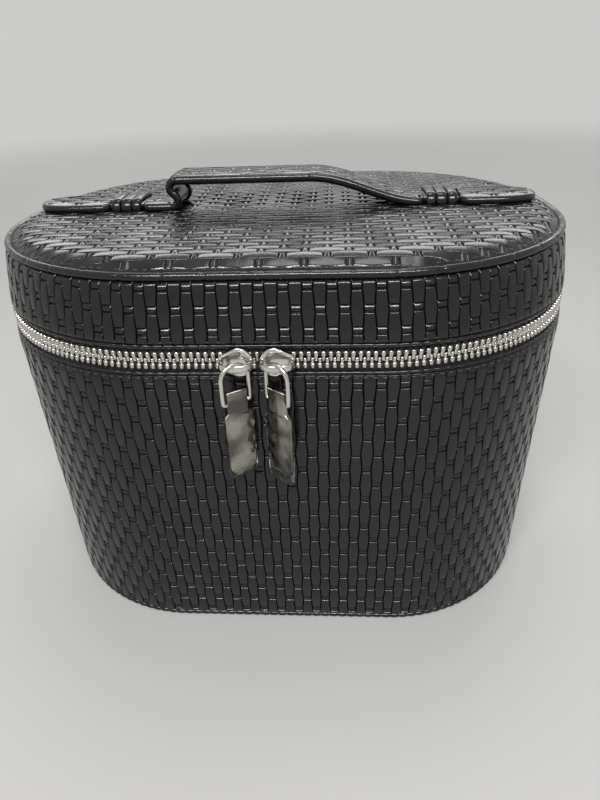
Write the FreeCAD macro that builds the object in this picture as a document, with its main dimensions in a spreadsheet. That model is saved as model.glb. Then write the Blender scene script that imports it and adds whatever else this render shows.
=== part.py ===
"""A makeup train case: a stiffened soft case with a padded lid, a strap handle and a two-slider metal zipper.

The origin is the centre of the base on the table. X runs to the right, the front faces -Y and Z is up.
All sizes are in millimetres.
"""

import FreeCAD, Part
import math
import os
import re
import Sketcher

SIZES = {
    # Outline of the case at the base, at the zipper and at the lid's top edge
    "base_taper": 5.0,
    "base_corner_radius": 68.0,
    "rim_half_width": 119.0,
    "rim_half_depth": 89.0,
    "rim_corner_radius": 82.0,
    "lid_taper": 3.5,
    "lid_corner_radius": 80.0,
    "zip_height": 134.2,
    "lid_band_height": 28.3,
    # Layers of the walls, from outside to inside
    "skin_thick": 1.2,
    "foam_thick": 1.0,
    "board_thick": 2.0,
    "lining_thick": 0.8,
    "glue_gap": 0.15,
    # Base
    "base_cover_thick": 1.2,
    "base_board_thick": 2.5,
    "foot_piping_size": 2.4,
    "foot_piping_lift": 0.4,
    "piping_proud": 0.2,
    # Rims on both sides of the zipper
    "rim_half_gap": 4.4,
    "binding_size": 1.3,
    "binding_sink": 0.1,
    "board_setback": 1.3,
    # Zipper
    "tape_clearance": 0.3,
    "tape_thick": 0.7,
    "tape_height": 13.6,
    "tooth_pitch": 2.5,
    "tooth_width": 1.3,
    "tooth_height": 2.4,
    "tooth_depth": 3.0,
    "row_gap": 1.0,
    "stop_width": 2.2,
    # Hinge behind
    "hinge_width": 72.0,
    "hinge_thick": 1.2,
    "hinge_reach": 14.0,
    "hinge_lining_thick": 0.6,
    # Lid top
    "lip_size": 2.6,
    "crown_height": 4.0,
    "shoulder_width": 15.0,
    "pad_sink": 1.3,
    "lid_board_thick": 2.0,
    # Handle strap
    "strap_width": 24.0,
    "strap_thick": 2.6,
    "strap_seat": 0.3,
    "strap_joint_gap": 0.1,
    "neck_width": 17.0,
    "neck_margin": 1.0,
    "keeper_reach": 67.0,
    "keeper_band_width": 3.9,
    "keeper_band_pitch": 4.7,
    "keeper_band_thick": 1.8,
    "keeper_clearance": 0.3,
    "tab_reach": 107.5,
    "tab_nose_length": 16.0,
    "tab_nose_radius": 18.0,
    "tab_shoulder": 4.0,
    "fold_reach": 46.9,
    "fold_radius": 2.9,
    "fold_turn": 150.0,
    "grip_end": 12.0,
    # Sliders
    "left_slider_place": -10.8,
    "right_slider_place": 3.2,
    "slider_half_length": 5.9,
    "slider_half_nose": 5.4,
    "slider_half_tail": 2.8,
    "slider_plate_thick": 1.5,
    "slider_back_thick": 1.2,
    "slider_gap": 0.3,
    "web_thick": 0.5,
    "web_length": 4.0,
    "bridge_reach": 6.0,
    "bridge_bar_size": 1.4,
    "bridge_post_width": 1.1,
    "bridge_post_height": 2.2,
    # Pulls
    "left_pull_yaw": 35.0,
    "right_pull_yaw": -40.0,
    "bail_wire": 1.6,
    "bail_half_width": 5.1,
    "bail_drop": 13.2,
    "bail_play": 0.1,
    "pin_rise": 0.2,
    "pin_size": 1.1,
    "pin_length": 3.2,
    "pin_clearance": 0.2,
    "pull_thick": 2.0,
    "pull_neck_half_width": 3.9,
    "pull_neck_above": 4.5,
    "pull_neck_below": 4.5,
    "pull_half_width": 5.3,
    "pull_length": 33.5,
    "pull_chamfer": 2.0,
    # Clear film on the pulls
    "film_thick": 0.25,
    "film_gap": 0.2,
    "left_film_end": 1.5,
    "right_film_end": 4.5,
}

doc = FreeCAD.newDocument("makeup_train_case")
sheet = doc.addObject("Spreadsheet::Sheet", "Sizes")
for row, (alias, amount) in enumerate(SIZES.items(), 1):
    sheet.set(f"A{row}", alias)
    sheet.set(f"B{row}", str(amount))
    sheet.setAlias(f"B{row}", alias)
doc.recompute()

PARTS = []

# Half width, half depth and corner radius of the outline at the base, at the zipper and at the lid's top edge
BASE_PLAN = ("(rim_half_width - base_taper)", "(rim_half_depth - base_taper)", "base_corner_radius")
RIM_PLAN = ("rim_half_width", "rim_half_depth", "rim_corner_radius")
LID_PLAN = ("(rim_half_width - lid_taper)", "(rim_half_depth - lid_taper)", "lid_corner_radius")

# Depth of each wall layer below the outer surface
BINDING_INSET = "(binding_sink + binding_size / 2)"
TAPE_INSET = "(skin_thick + tape_clearance)"
FOAM_INSET = "(skin_thick + glue_gap)"
BOARD_INSET = "(skin_thick + foam_thick + 2 * glue_gap)"
LINING_INSET = "(skin_thick + foam_thick + board_thick + 3 * glue_gap)"
INSIDE_INSET = f"({LINING_INSET} + lining_thick + glue_gap)"

# Heights in the case below the zipper
BASE_BOARD_LOW = "(base_cover_thick + glue_gap)"
BASE_LINING_LOW = f"({BASE_BOARD_LOW} + base_board_thick + glue_gap)"
WALL_LINING_LOW = f"({BASE_LINING_LOW} + lining_thick + glue_gap)"
SKIN_LOW = "(foot_piping_lift + foot_piping_size + glue_gap)"
SKIN_HIGH = "(zip_height - rim_half_gap - binding_size - glue_gap)"
BOARD_HIGH = "(zip_height - rim_half_gap - board_setback)"
CHAIN_LOW = "(zip_height - row_gap / 2 - tooth_height)"
TAPE_LOW = f"({CHAIN_LOW} - tape_height)"

# Heights in the lid
CHAIN_HIGH = "(zip_height + row_gap / 2 + tooth_height)"
TAPE_HIGH = f"({CHAIN_HIGH} + tape_height)"
LID_SKIN_LOW = "(zip_height + rim_half_gap + binding_size + glue_gap)"
LID_BOARD_LOW = "(zip_height + rim_half_gap + board_setback)"
LID_EDGE = "(zip_height + lid_band_height)"
LID_SKIN_HIGH = f"({LID_EDGE} - lip_size / 2 - glue_gap)"
PAD_LOW = f"({LID_EDGE} - pad_sink)"
LID_BOARD_HIGH = f"({PAD_LOW} - glue_gap)"
BAND_HIGH = f"({LID_BOARD_HIGH} - lid_board_thick - glue_gap)"
BAND_LINING_HIGH = f"({BAND_HIGH} - lining_thick - glue_gap)"
LID_TOP = f"({LID_EDGE} + crown_height)"

# Centre heights of the strap where it lies on the lid and where the grip stands clear of it
STRAP_HEIGHT = f"({LID_TOP} + strap_seat + strap_thick / 2)"
GRIP_HEIGHT = f"({STRAP_HEIGHT} + 2 * fold_radius * (1 + sin(fold_turn - 90)))"
KEEPER_HALF = "(keeper_band_pitch + keeper_band_width / 2)"
NECK_INNER = f"(keeper_reach - {KEEPER_HALF} - neck_margin)"
NECK_OUTER = f"(keeper_reach + {KEEPER_HALF} + neck_margin)"

# Depth of the tooth row's middle below the outer surface
CHAIN_INSET = f"({TAPE_INSET} + tape_thick / 2)"


def bound(text):
    """The same formula with each size's name pointing at its cell. All these names hold an underscore."""
    return re.sub(r"[a-z]+(_[a-z]+)+", r"Sizes.\g<0>", str(text))


def number(text):
    """The value of a formula in sizes."""
    return float(sheet.evalExpression(bound(text)))


def new_body(label, x="0", y="0", z="0", yaw="0"):
    """A sub-part's body, moved to a place and turned about the vertical."""
    body = doc.addObject("PartDesign::Body", label)
    body.Label = label
    place = f"create(<<vector>>; {bound(x)}; {bound(y)}; {bound(z)})"
    turn = f"create(<<rotation>>; create(<<vector>>; 0; 0; 1); {bound(yaw)})"
    body.setExpression("Placement", f"create(<<placement>>; {place}; {turn})")
    PARTS.append(body)
    return body


def new_sketch(body, name, plane, offset):
    """An empty sketch on a plane of the body's origin, moved along that plane's normal."""
    sketch = body.newObject("Sketcher::SketchObject", name)
    support = next(part for part in body.Origin.OriginFeatures if part.Role == plane)
    sketch.AttachmentSupport = (support, "")
    sketch.MapMode = "FlatFace"
    sketch.setExpression("AttachmentOffset.Base.z", bound(offset))
    return sketch


def fix(sketch, kind, name, formula, *elements):
    """A named dimension tied to a formula in sizes."""
    index = sketch.addConstraint(Sketcher.Constraint(kind, *elements, number(formula)))
    sketch.renameConstraint(index, name)
    sketch.setExpression(f"Constraints.{name}", bound(formula))


def arc_between(start, end, radius, turn):
    """The arc under a half circle from start to end that turns left (1) or right (-1)."""
    chord = end - start
    side = FreeCAD.Vector(-chord.y, chord.x) * (turn / chord.Length)
    rise = math.sqrt(max(radius**2 - (chord.Length / 2) ** 2, 0.0))
    centre = start + chord * 0.5 + side * rise
    first, last = (start, end) if turn > 0 else (end, start)
    angles = [math.atan2(p.y - centre.y, p.x - centre.x) for p in (first, last)]
    return Part.ArcOfCircle(Part.Circle(centre, FreeCAD.Vector(0, 0, 1), radius), *angles)


def outline(body, name, corners, plane="XY_Plane", offset="0", closed=True):
    """A chain of lines and arcs. A corner is x, y and, where an arc follows, its radius and turn."""
    sketch = new_sketch(body, name, plane, offset)
    points = [FreeCAD.Vector(number(x), number(y)) for x, y, *_ in corners]
    count = len(corners) if closed else len(corners) - 1
    ends = []
    for index in range(count):
        start = points[index]
        end = points[(index + 1) % len(points)]
        bend = corners[index][2:]
        if bend:
            edge = sketch.addGeometry(arc_between(start, end, number(bend[0]), bend[1]))
            fix(sketch, "Radius", f"radius_{index}", bend[0], edge)
            ends.append((edge, 1, 2) if bend[1] > 0 else (edge, 2, 1))
        else:
            edge = sketch.addGeometry(Part.LineSegment(start, end))
            ends.append((edge, 1, 2))
    for index, (edge, first, last) in enumerate(ends):
        following = ends[(index + 1) % len(ends)]
        if closed or index + 1 < count:
            sketch.addConstraint(Sketcher.Constraint("Coincident", edge, last, following[0], following[1]))
        fix(sketch, "DistanceX", f"across_{index}", corners[index][0], -1, 1, edge, first)
        fix(sketch, "DistanceY", f"along_{index}", corners[index][1], -1, 1, edge, first)
    if not closed:
        edge, _, last = ends[-1]
        fix(sketch, "DistanceX", f"across_{count}", corners[count][0], -1, 1, edge, last)
        fix(sketch, "DistanceY", f"along_{count}", corners[count][1], -1, 1, edge, last)
    return sketch


def circle(body, name, across, along, diameter, plane, offset="0"):
    """A circle at a place on a plane."""
    sketch = new_sketch(body, name, plane, offset)
    centre = FreeCAD.Vector(number(across), number(along))
    edge = sketch.addGeometry(Part.Circle(centre, FreeCAD.Vector(0, 0, 1), number(diameter) / 2))
    fix(sketch, "Diameter", "diameter", diameter, edge)
    fix(sketch, "DistanceX", "across", across, -1, 1, edge, 3)
    fix(sketch, "DistanceY", "along", along, -1, 1, edge, 3)
    return sketch


def pad(body, name, sketch, length, both_ways=False, kind="PartDesign::Pad"):
    """A sketch thickened along its normal, or cut by that thickness."""
    feature = body.newObject(kind, name)
    feature.Profile = sketch
    feature.setExpression("Length", bound(length))
    feature.SideType = "Symmetric" if both_ways else "One side"
    return feature


def loft(body, name, sketches, kind="PartDesign::AdditiveLoft"):
    """Straight-sided skin from sketch to sketch."""
    feature = body.newObject(kind, name)
    feature.Profile = sketches[0]
    feature.Sections = sketches[1:]
    feature.Ruled = True
    return feature


def pipe(body, name, profile, path):
    """A section drawn along a path."""
    feature = body.newObject("PartDesign::AdditivePipe", name)
    feature.Profile = profile
    feature.Spine = (path, [])
    return feature


def case_wall(height, inset):
    """Half width, half depth and corner radius of the case below the zipper, at a height and a depth in its wall."""
    share = f"({height}) / zip_height"
    return [f"{base} + ({rim} - {base}) * {share} - ({inset})" for base, rim in zip(BASE_PLAN, RIM_PLAN)]


def lid_wall(height, inset):
    """The same three sizes in the lid's band, at a height between the zipper and the top edge."""
    share = f"(({height}) - zip_height) / lid_band_height"
    return [f"{rim} + ({lid} - {rim}) * {share} - ({inset})" for rim, lid in zip(RIM_PLAN, LID_PLAN)]


def plan(body, name, height, sizes):
    """A rounded rectangle round the vertical axis, at a height, starting on its right side."""
    wide, deep, radius = (f"({size})" for size in sizes)
    flat_x = f"({wide} - {radius})"
    flat_y = f"({deep} - {radius})"
    corners = [
        (wide, f"-{flat_y}"),
        (wide, flat_y, radius, 1),
        (flat_x, deep),
        (f"-{flat_x}", deep, radius, 1),
        (f"-{wide}", flat_y),
        (f"-{wide}", f"-{flat_y}", radius, 1),
        (f"-{flat_x}", f"-{deep}"),
        (flat_x, f"-{deep}", radius, 1),
    ]
    return outline(body, name, corners, "XY_Plane", height)


def plate(label, low, thick, sizes):
    """A flat sheet with the case's plan."""
    body = new_body(label)
    pad(body, f"{label}_sheet", plan(body, f"{label}_plan", low, sizes), thick)
    return body


def ring(label, wall, low, high, inset, thick):
    """One layer of a wall that follows the taper between two heights."""
    body = new_body(label)
    inner = f"({inset} + {thick})"
    outside = [plan(body, f"{label}_outside_{end}", at, wall(at, inset)) for end, at in (("low", low), ("high", high))]
    loft(body, f"{label}_solid", outside)
    inside = [plan(body, f"{label}_inside_{end}", at, wall(at, inner)) for end, at in (("low", low), ("high", high))]
    loft(body, f"{label}_hollow", inside, "PartDesign::SubtractiveLoft")
    return body


def roll(label, wall, height, inset, diameter):
    """A round roll that runs all round the case at a height."""
    body = new_body(label)
    sizes = wall(height, inset)
    path = plan(body, f"{label}_path", height, sizes)
    flat = f"(({sizes[1]}) - ({sizes[2]}))"
    section = circle(body, f"{label}_section", sizes[0], height, diameter, "XZ_Plane", flat)
    pipe(body, f"{label}_roll", section, path)
    return body


def build_case():
    """The case below the zipper, from the table up and from outside in."""
    cover_inset = "foot_piping_size - piping_proud + glue_gap"
    plate("base_cover", "0", "base_cover_thick", case_wall("0", cover_inset))
    plate("base_board", BASE_BOARD_LOW, "base_board_thick", case_wall(BASE_BOARD_LOW, LINING_INSET))
    plate("base_lining", BASE_LINING_LOW, "lining_thick", case_wall(BASE_LINING_LOW, LINING_INSET))
    piping_height = "(foot_piping_lift + foot_piping_size / 2)"
    roll("base_piping", case_wall, piping_height, "foot_piping_size / 2 - piping_proud", "foot_piping_size")
    ring("body_skin", case_wall, SKIN_LOW, SKIN_HIGH, "0", "skin_thick")
    ring("body_foam", case_wall, SKIN_LOW, f"{TAPE_LOW} - glue_gap", FOAM_INSET, "foam_thick")
    ring("body_board", case_wall, BASE_BOARD_LOW, BOARD_HIGH, BOARD_INSET, "board_thick")
    ring("body_lining", case_wall, WALL_LINING_LOW, BOARD_HIGH, LINING_INSET, "lining_thick")
    binding_height = "(zip_height - rim_half_gap - binding_size / 2)"
    roll("body_rim_binding", case_wall, binding_height, BINDING_INSET, "binding_size")


def crown_sections(body, name, inset, rise, base=None):
    """Plans of the padded top, from its edge up a rounded shoulder to its flat middle."""
    lid = LID_PLAN
    sections = []
    if base:
        sections.append(plan(body, f"{name}_base", base, [f"{size} - ({inset})" for size in lid]))
    for step, share in enumerate((0.0, 0.06, 0.2, 0.45, 1.0)):
        height = f"{LID_EDGE} + ({rise}) * {math.sqrt(1 - (1 - share) ** 2):.4f}"
        depth = f"{inset} + shoulder_width * {share}"
        sections.append(plan(body, f"{name}_{step}", height, [f"{size} - ({depth})" for size in lid]))
    return sections


def build_lid():
    """The lid's stiff band and its padded top."""
    ring("lid_band_skin", lid_wall, LID_SKIN_LOW, LID_SKIN_HIGH, "0", "skin_thick")
    ring("lid_band_foam", lid_wall, f"{TAPE_HIGH} + glue_gap", LID_SKIN_HIGH, FOAM_INSET, "foam_thick")
    ring("lid_band_board", lid_wall, LID_BOARD_LOW, BAND_HIGH, BOARD_INSET, "board_thick")
    ring("lid_band_lining", lid_wall, LID_BOARD_LOW, BAND_LINING_HIGH, LINING_INSET, "lining_thick")
    lining_low = f"({BAND_HIGH} - lining_thick)"
    plate("lid_top_lining", lining_low, "lining_thick", lid_wall(BAND_HIGH, LINING_INSET))
    board_low = f"({LID_BOARD_HIGH} - lid_board_thick)"
    plate("lid_top_board", board_low, "lid_board_thick", lid_wall(LID_BOARD_HIGH, BOARD_INSET))
    binding_height = "(zip_height + rim_half_gap + binding_size / 2)"
    roll("lid_rim_binding", lid_wall, binding_height, BINDING_INSET, "binding_size")
    roll("lid_top_lip", lid_wall, LID_EDGE, "lip_size / 2 - piping_proud", "lip_size")

    skin_inset = "lip_size - piping_proud + glue_gap"
    under_inset = f"{skin_inset} + skin_thick"
    pad_inset = f"{under_inset} + glue_gap"
    skin = new_body("lid_top_skin")
    loft(skin, "lid_top_skin_outside", crown_sections(skin, "skin_out", skin_inset, "crown_height"))
    hollow = crown_sections(skin, "skin_in", under_inset, "crown_height - skin_thick")
    loft(skin, "lid_top_skin_hollow", hollow, "PartDesign::SubtractiveLoft")
    padding = new_body("lid_pad")
    rise = "crown_height - skin_thick - glue_gap"
    loft(padding, "lid_pad_solid", crown_sections(padding, "pad", pad_inset, rise, PAD_LOW))


def chain_station(along):
    """Place and heading on the tooth row, at a distance along it from the middle of the front."""
    inset = number(CHAIN_INSET)
    wide = number("rim_half_width") - inset
    deep = number("rim_half_depth") - inset
    radius = number("rim_corner_radius") - inset
    quarter = radius * math.pi / 2
    left = abs(along)
    side = 1 if along >= 0 else -1
    if left <= wide - radius:
        x, y, heading = left, -deep, 0.0
    elif left <= wide - radius + quarter:
        heading = (left - (wide - radius)) / radius
        x = wide - radius + radius * math.sin(heading)
        y = radius - deep - radius * math.cos(heading)
    elif left <= wide + 2 * deep - 3 * radius + quarter:
        heading = math.pi / 2
        x, y = wide, left - (wide - radius + quarter) - (deep - radius)
    else:
        heading = (left - (wide + 2 * deep - 3 * radius + quarter)) / radius + math.pi / 2
        x = wide - radius + radius * math.sin(heading)
        y = deep - radius - radius * math.cos(heading)
    return side * x, y, side * heading


def chain_half_length():
    """Length of the tooth row from the middle of the front to the hinge strip, one way round."""
    inset = number(CHAIN_INSET)
    wide = number("rim_half_width") - inset
    deep = number("rim_half_depth") - inset
    radius = number("rim_corner_radius") - inset
    rear_corner = wide - radius + math.pi * radius + 2 * (deep - radius)
    return rear_corner - max(number("hinge_width") / 2 - (wide - radius), 0.0) - number("stop_width")


def on_chain(along, width, low):
    """A block of the tooth row's section at a station of the zipper."""
    depth = number("tooth_depth")
    block = Part.makeBox(width, depth, number("tooth_height"), FreeCAD.Vector(-width / 2, -depth / 2, 0))
    x, y, heading = chain_station(along)
    turn = FreeCAD.Rotation(FreeCAD.Vector(0, 0, 1), math.degrees(heading))
    block.Placement = FreeCAD.Placement(FreeCAD.Vector(x, y, low), turn)
    return block


def add_blocks(label, blocks):
    """A group of separate small solids."""
    group = doc.addObject("Part::Feature", label)
    group.Label = label
    group.Shape = Part.makeCompound(blocks)
    group.Placement = FreeCAD.Placement()
    PARTS.append(group)


def build_zipper():
    """Two tapes with a row of metal teeth each, and the stops at the ends of the chain."""
    ring("zip_tape_lower", case_wall, TAPE_LOW, CHAIN_LOW, TAPE_INSET, "tape_thick")
    ring("zip_tape_upper", lid_wall, CHAIN_HIGH, TAPE_HIGH, TAPE_INSET, "tape_thick")
    pitch = number("tooth_pitch")
    width = number("tooth_width")
    reach = int(chain_half_length() / pitch) - 1
    low = number(CHAIN_LOW)
    high = number("zip_height + row_gap / 2")
    lower = [on_chain(pitch * step, width, low) for step in range(-reach, reach + 1)]
    upper = [on_chain(pitch * (step + 0.5), width, high) for step in range(-reach, reach)]
    stop_place = pitch * reach + width / 2 + number("stop_width")
    stops = [on_chain(side * stop_place, number("stop_width"), low) for side in (-1, 1)]
    add_blocks("zip_teeth_lower", lower)
    add_blocks("zip_teeth_upper", upper)
    add_blocks("zip_end_stops", stops)


def hinge_sheet(label, inset, thick):
    """A flexible strip across the zipper's gap behind, bent along the outline of case and lid."""
    low = "(zip_height - hinge_reach)"
    high = "(zip_height + hinge_reach)"
    outer = f"(({inset}) - ({thick}))"
    corners = []
    for depth, levels in ((inset, (low, "zip_height", high)), (outer, (high, "zip_height", low))):
        for height in levels:
            wall = lid_wall if height == high else case_wall
            corners.append((wall(height, depth)[1], height))
    body = new_body(label)
    pad(body, f"{label}_sheet", outline(body, f"{label}_edge", corners, "YZ_Plane"), "hinge_width", True)


def build_hinge():
    """The leather strip outside, over the bindings, and the fabric strip inside."""
    hinge_sheet("hinge_strip", "-glue_gap", "hinge_thick")
    hinge_sheet("hinge_lining", f"{INSIDE_INSET} + hinge_lining_thick", "hinge_lining_thick")


def strap_tab(label, side):
    """One flat end of the strap: a neck through the keeper and a pointed leaf beyond it."""
    half = "(strap_width / 2)"
    neck = "(neck_width / 2)"
    shoulder = f"({NECK_OUTER} + tab_shoulder)"
    nose = "(tab_reach - tab_nose_length)"
    turn = side
    right = [
        (NECK_INNER, f"-{neck}"),
        (NECK_OUTER, f"-{neck}"),
        (shoulder, f"-{half}"),
        (nose, f"-{half}", "tab_nose_radius", turn),
        ("tab_reach", "0", "tab_nose_radius", turn),
        (nose, half),
        (shoulder, half),
        (NECK_OUTER, neck),
        (NECK_INNER, neck),
    ]
    corners = right if side > 0 else [(f"-({x})", *rest) for x, *rest in right]
    body = new_body(label, z=STRAP_HEIGHT)
    pad(body, f"{label}_leaf", outline(body, f"{label}_edge", corners), "strap_thick", True)


def strap_block(label, start, end, height):
    """A straight stretch of the strap."""
    top = f"({height} + strap_thick / 2)"
    bottom = f"({height} - strap_thick / 2)"
    corners = [(start, bottom), (end, bottom), (end, top), (start, top)]
    body = new_body(label)
    pad(body, f"{label}_web", outline(body, f"{label}_edge", corners, "XZ_Plane"), "strap_width", True)


def strap_fold():
    """The S of the strap that stands up from the lid on the left: one bend to the left and one back to the right."""
    half = "strap_thick / 2"
    wide = f"(fold_radius + {half})"
    tight = f"(fold_radius - {half})"
    cosine = "cos(fold_turn - 90)"
    sine = "sin(fold_turn - 90)"
    lower = ("(-fold_reach)", f"({STRAP_HEIGHT} + fold_radius)")
    upper = (f"(-fold_reach + 2 * fold_radius * {cosine})", f"({lower[1]} + 2 * fold_radius * {sine})")
    corners = [
        (lower[0], f"{lower[1]} - {wide}", wide, 1),
        (f"{lower[0]} + {wide} * {cosine}", f"{lower[1]} + {wide} * {sine}", tight, -1),
        (upper[0], f"{upper[1]} + {tight}"),
        (upper[0], f"{upper[1]} + {wide}", wide, 1),
        (f"{lower[0]} + {tight} * {cosine}", f"{lower[1]} + {tight} * {sine}", tight, -1),
        (lower[0], f"{lower[1]} - {tight}"),
    ]
    body = new_body("strap_left_fold")
    edge = outline(body, "strap_left_fold_edge", corners, "XZ_Plane")
    pad(body, "strap_left_fold_web", edge, "strap_width", True)
    return upper[0]


def strap_slope():
    """The strap's run from the grip down to the right keeper, in two equal gentle arcs."""
    start = "(grip_end + strap_joint_gap)"
    length = f"({NECK_INNER} - strap_joint_gap - {start})"
    drop = f"({GRIP_HEIGHT} - {STRAP_HEIGHT})"
    radius = f"(({length} ^ 2 + {drop} ^ 2) / (4 * {drop}))"
    half = "strap_thick / 2"
    middle = (f"({start} + {length} / 2)", f"({STRAP_HEIGHT} + {drop} / 2)")
    lean = (f"({length} / 2 / {radius})", f"(1 - {drop} / 2 / {radius})")
    end = f"({start} + {length})"
    corners = [
        (start, f"{GRIP_HEIGHT} - {half}", f"{radius} - {half}", -1),
        (f"{middle[0]} - {half} * {lean[0]}", f"{middle[1]} - {half} * {lean[1]}", f"{radius} + {half}", 1),
        (end, f"{STRAP_HEIGHT} - {half}"),
        (end, f"{STRAP_HEIGHT} + {half}", f"{radius} - {half}", -1),
        (f"{middle[0]} + {half} * {lean[0]}", f"{middle[1]} + {half} * {lean[1]}", f"{radius} + {half}", 1),
        (start, f"{GRIP_HEIGHT} + {half}"),
    ]
    body = new_body("strap_right_run")
    edge = outline(body, "strap_right_run_edge", corners, "XZ_Plane")
    pad(body, "strap_right_run_web", edge, "strap_width", True)


def keeper(label, side):
    """Three leather bands over the strap's neck, with their feet on the lid."""
    inner = "(neck_width / 2 + keeper_clearance)"
    outer = f"({inner} + keeper_band_thick)"
    foot = f"({LID_TOP} + keeper_clearance)"
    under = f"({STRAP_HEIGHT} + strap_thick / 2 + keeper_clearance)"
    top = f"({under} + keeper_band_thick)"
    bend = "keeper_band_thick"
    corners = [
        (f"-{outer}", foot),
        (f"-{inner}", foot),
        (f"-{inner}", under),
        (inner, under),
        (inner, foot),
        (outer, foot),
        (outer, f"{top} - {bend}", bend, 1),
        (f"{outer} - {bend}", top),
        (f"-({outer} - {bend})", top, bend, 1),
        (f"-{outer}", f"{top} - {bend}"),
    ]
    body = new_body(label)
    for step in (-1, 0, 1):
        place = f"{side} * keeper_reach + {step} * keeper_band_pitch"
        edge = outline(body, f"{label}_edge_{step + 1}", corners, "YZ_Plane", place)
        pad(body, f"{label}_band_{step + 1}", edge, "keeper_band_width", True)


def build_handle():
    """The strap handle along the lid and the keepers that hold it."""
    for label, side in (("left", -1), ("right", 1)):
        strap_tab(f"strap_{label}_tab", side)
        keeper(f"keeper_{label}", side)
    fold_end = strap_fold()
    strap_block("strap_left_end", f"-{NECK_INNER} + strap_joint_gap", "-fold_reach - strap_joint_gap", STRAP_HEIGHT)
    strap_block("strap_grip", f"{fold_end} + strap_joint_gap", "grip_end", GRIP_HEIGHT)
    strap_slope()


def slider(label, place, facing):
    """A slider: a pear-shaped front plate, a back plate, the thin wedge between the rows and a bridge for the pull."""
    front_face = f"({CHAIN_INSET} - tooth_depth / 2 - slider_gap)"
    back_face = f"({CHAIN_INSET} + tooth_depth / 2 + slider_gap)"
    nose_centre = f"({facing} * (slider_half_length - slider_half_nose))"
    tail = f"({facing} * -slider_half_length)"
    pear = [
        (nose_centre, "-slider_half_nose", "slider_half_nose", facing),
        (f"{facing} * slider_half_length", "0", "slider_half_nose", facing),
        (nose_centre, "slider_half_nose"),
        (tail, "slider_half_tail"),
        (tail, "-slider_half_tail"),
    ]
    body = new_body(label, x=place, y="-rim_half_depth", z="zip_height")
    front = outline(body, f"{label}_front_edge", pear, "XZ_Plane", f"-{front_face}")
    pad(body, f"{label}_front", front, "slider_plate_thick")
    wedge_start = f"({facing} * (slider_half_length - web_length - web_thick))"
    wedge_end = f"({facing} * (slider_half_length - web_thick))"
    wedge = [
        (wedge_start, "-web_thick / 2"),
        (wedge_end, "-web_thick / 2"),
        (wedge_end, "web_thick / 2"),
        (wedge_start, "web_thick / 2"),
    ]
    web = outline(body, f"{label}_wedge_edge", wedge, "XZ_Plane", f"-{back_face}")
    pad(body, f"{label}_wedge", web, f"{back_face} - {front_face}")
    back = outline(body, f"{label}_back_edge", pear, "XZ_Plane", f"-({back_face} + slider_back_thick)")
    pad(body, f"{label}_back", back, "slider_back_thick")
    plate_face = f"(slider_plate_thick - {front_face})"
    post_middle = "(slider_half_length - bridge_post_width / 2)"
    for name, side in (("tail", -1), ("nose", 1)):
        inner = f"({side} * ({post_middle} - bridge_post_width / 2))"
        outer = f"({side} * slider_half_length)"
        half = "(bridge_post_height / 2)"
        post = [(inner, f"-{half}"), (outer, f"-{half}"), (outer, half), (inner, half)]
        edge = outline(body, f"{label}_{name}_post_edge", post, "XZ_Plane", plate_face)
        pad(body, f"{label}_{name}_post", edge, f"bridge_reach + bridge_bar_size / 2 - {plate_face}")
    bar = circle(body, f"{label}_bar_edge", "-bridge_reach", "0", "bridge_bar_size", "YZ_Plane")
    pad(body, f"{label}_bar", bar, f"2 * {post_middle}", True)


def pull_body(label, place, yaw):
    """An empty body centred on the slider's bridge and turned with the pull."""
    return new_body(label, x=place, y="-(rim_half_depth + bridge_reach)", z="zip_height", yaw=yaw)


def bail(label, place, yaw):
    """A wire loop hung over the bridge, with a pin at each end that turns in towards the pull."""
    body = pull_body(label, place, yaw)
    bend_height = "(bridge_bar_size / 2 + bail_play + bail_wire / 2 - bail_half_width)"
    corners = [
        ("-bail_half_width", "-bail_drop"),
        ("-bail_half_width", bend_height, "bail_half_width", -1),
        ("0", f"{bend_height} + bail_half_width", "bail_half_width", -1),
        ("bail_half_width", bend_height),
        ("bail_half_width", "-bail_drop"),
    ]
    path = outline(body, f"{label}_path", corners, "XZ_Plane", closed=False)
    section = circle(body, f"{label}_section", "-bail_half_width", "0", "bail_wire", "XY_Plane", "-bail_drop")
    pipe(body, f"{label}_wire", section, path)
    for name, side in (("left", -1), ("right", 1)):
        start = "-bail_half_width" if side < 0 else "bail_half_width - pin_length"
        pin = circle(body, f"{label}_{name}_pin_edge", "0", PIN_HEIGHT, "pin_size", "YZ_Plane", start)
        pad(body, f"{label}_{name}_pin", pin, "pin_length")


PIN_HEIGHT = "(pin_rise + pin_size / 2 - bail_drop)"
SHOULDER_HEIGHT = f"({PIN_HEIGHT} - pull_neck_below)"
PULL_LOW = f"({PIN_HEIGHT} + pull_neck_above - pull_length)"


def pull(label, place, yaw):
    """A flat metal tab with a narrow neck that turns on the bail's pins."""
    body = pull_body(label, place, yaw)
    neck_top = f"({PIN_HEIGHT} + pull_neck_above)"
    right = [
        ("pull_neck_half_width", neck_top),
        ("pull_neck_half_width", SHOULDER_HEIGHT),
        ("pull_half_width", SHOULDER_HEIGHT),
        ("pull_half_width", f"{PULL_LOW} + pull_chamfer"),
        ("(pull_half_width - pull_chamfer)", PULL_LOW),
    ]
    left = [(f"-{x}", z) for x, z in reversed(right)]
    tab = outline(body, f"{label}_edge", right + left, "XZ_Plane")
    pad(body, f"{label}_tab", tab, "pull_thick", True)
    bore = circle(body, f"{label}_bore_edge", "0", PIN_HEIGHT, "pin_size + 2 * pin_clearance", "YZ_Plane")
    pad(body, f"{label}_bore", bore, "4 * pull_neck_half_width", True, "PartDesign::Pocket")


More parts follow.
